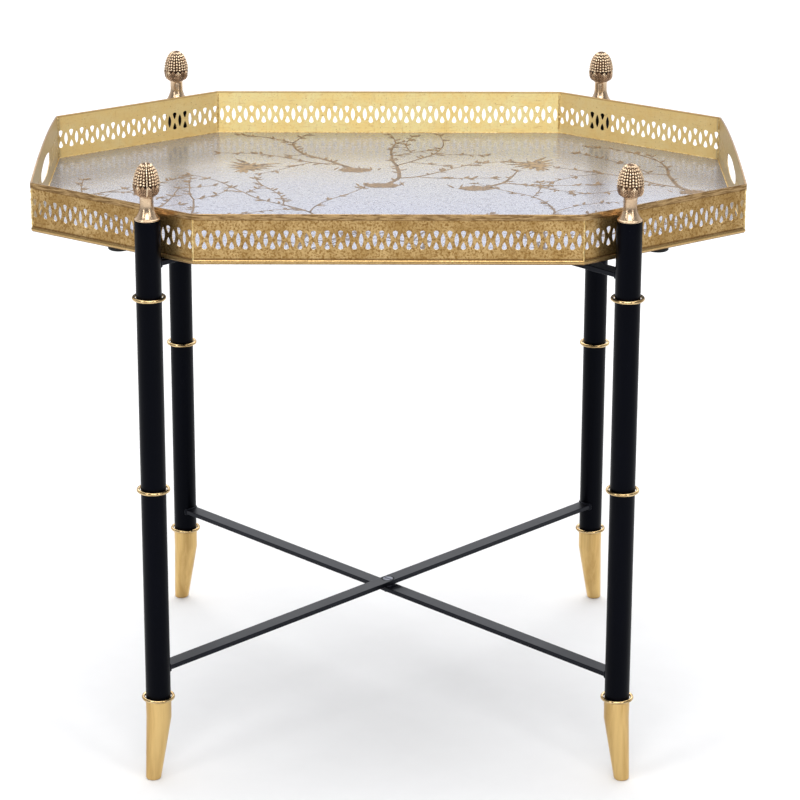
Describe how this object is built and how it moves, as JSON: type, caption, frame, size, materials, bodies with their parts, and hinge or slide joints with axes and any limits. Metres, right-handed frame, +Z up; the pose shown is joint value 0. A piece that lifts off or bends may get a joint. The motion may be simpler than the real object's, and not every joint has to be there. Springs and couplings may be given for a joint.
{
  "type": "tray table",
  "caption": "Octagonal pierced-gallery tray with a painted silvered floor, lifting off a folding stand of black tubular legs with brass finials, rings and feet.",
  "frame": {"origin": "on the floor under the middle of the stand, on the pivot line", "axes": "+X along the tray's length, +Y from the front to the back, +Z up"},
  "size_m": [0.7156, 0.5014, 0.651],
  "materials": {
    "gilt_brass": "aged gilt brass sheet, satin with patina",
    "silvered_panel": "hardboard faced with silver leaf, painted and lacquered",
    "tray_sheet": "black paint, semi-matt",
    "rubber_pad": "matt black",
    "black_tube": "black satin paint on steel tube",
    "black_bar": "black satin paint on flat steel bar",
    "plug_steel": "turned",
    "pivot_steel": "blackened",
    "bronze_finial": "bronzed cast brass, dark in the hollows",
    "ring_brass": "polished wire",
    "sabot_brass": "satin cast brass"
  },
  "bodies": {
    "frame_a": {"leg_tube_front_left": "black_tube", "tube_plug_front_left": "plug_steel", "finial_front_left": "bronze_finial", "ring_upper_front_left": "ring_brass", "ring_middle_front_left": "ring_brass", "ring_lower_front_left": "ring_brass", "sabot_front_left": "sabot_brass", "leg_tube_back_right": "black_tube", "tube_plug_back_right": "plug_steel", "finial_back_right": "bronze_finial", "ring_upper_back_right": "ring_brass", "ring_middle_back_right": "ring_brass", "ring_lower_back_right": "ring_brass", "sabot_back_right": "sabot_brass", "upper_bar_a": "black_bar", "upper_pivot_screw": "pivot_steel", "upper_pivot_spacer": "pivot_steel", "upper_pivot_nut": "pivot_steel", "lower_bar_a": "black_bar", "lower_pivot_screw": "pivot_steel", "lower_pivot_spacer": "pivot_steel", "lower_pivot_nut": "pivot_steel"},
    "frame_b": {"leg_tube_front_right": "black_tube", "tube_plug_front_right": "plug_steel", "finial_front_right": "bronze_finial", "ring_upper_front_right": "ring_brass", "ring_middle_front_right": "ring_brass", "ring_lower_front_right": "ring_brass", "sabot_front_right": "sabot_brass", "leg_tube_back_left": "black_tube", "tube_plug_back_left": "plug_steel", "finial_back_left": "bronze_finial", "ring_upper_back_left": "ring_brass", "ring_middle_back_left": "ring_brass", "ring_lower_back_left": "ring_brass", "sabot_back_left": "sabot_brass", "upper_bar_b": "black_bar", "lower_bar_b": "black_bar"},
    "tray": {"tray_floor": "tray_sheet", "painted_panel": "silvered_panel", "gallery_front": "gilt_brass", "gallery_back": "gilt_brass", "gallery_front_left": "gilt_brass", "gallery_back_right": "gilt_brass", "gallery_front_right": "gilt_brass", "gallery_back_left": "gilt_brass", "end_panel_left": "gilt_brass", "end_panel_right": "gilt_brass", "tray_foot_front_left": "rubber_pad", "tray_foot_back_right": "rubber_pad", "tray_foot_front_right": "rubber_pad", "tray_foot_back_left": "rubber_pad"}
  },
  "joints": [
    {"name": "tray_lift", "type": "slide", "parent": "frame_a", "child": "tray", "axis": [0, 0, 1], "range_m": [0, 0.2]},
    {"name": "stand_fold", "type": "hinge", "parent": "frame_a", "child": "frame_b", "pos_m": [0, 0, 0.33], "axis": [0, 0, -1], "range_deg": [0, 83]}
  ]
}
